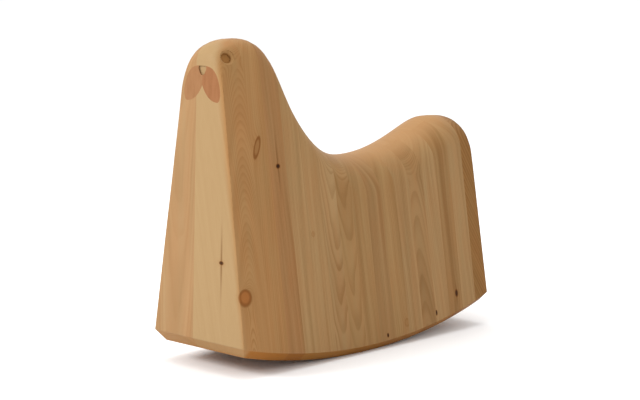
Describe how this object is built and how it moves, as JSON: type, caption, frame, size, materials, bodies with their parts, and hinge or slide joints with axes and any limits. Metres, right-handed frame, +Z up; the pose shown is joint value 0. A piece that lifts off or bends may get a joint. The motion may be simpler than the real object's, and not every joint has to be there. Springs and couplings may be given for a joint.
{
  "type": "rocking seat",
  "caption": "Solid glued-pine rocking seat for a small child, shaped like a seal: flat front with inlaid moustache, domed head, saddle, rounded rump and curved rocker base.",
  "frame": {"origin": "on the floor, under the middle of the body", "axes": "+X to the animal's left, -Y the way its flat front faces, +Z up"},
  "size_m": [0.2242, 0.597, 0.529],
  "materials": {
    "pine_light": "satin clear oil on light pine",
    "pine_warm": "satin clear oil on warm orange pine",
    "pine_pale": "satin clear oil on pale yellow pine",
    "moustache_wood": "satin clear oil on reddish brown wood"
  },
  "bodies": {
    "root": {"front_block_left": "pine_light", "front_block_right": "pine_warm", "layer_01_left": "pine_warm", "layer_01_right": "pine_pale", "layer_02_left": "pine_pale", "layer_02_right": "pine_light", "layer_03_left": "pine_light", "layer_03_right": "pine_warm", "layer_04_left": "pine_warm", "layer_04_right": "pine_pale", "layer_05_left": "pine_pale", "layer_05_right": "pine_light", "layer_06_left": "pine_light", "layer_06_right": "pine_warm", "layer_07_left": "pine_warm", "layer_07_right": "pine_pale", "layer_08_left": "pine_pale", "layer_08_right": "pine_light", "layer_09_left": "pine_light", "layer_09_right": "pine_warm", "layer_10_left": "pine_warm", "layer_10_right": "pine_pale", "layer_11_left": "pine_pale", "layer_11_right": "pine_light", "layer_12_left": "pine_light", "layer_12_right": "pine_warm", "layer_13_left": "pine_warm", "layer_13_right": "pine_pale", "layer_14_left": "pine_pale", "layer_14_right": "pine_light", "layer_15_left": "pine_light", "layer_15_right": "pine_warm", "moustache_left": "moustache_wood", "moustache_right": "moustache_wood"}
  },
  "joints": []
}
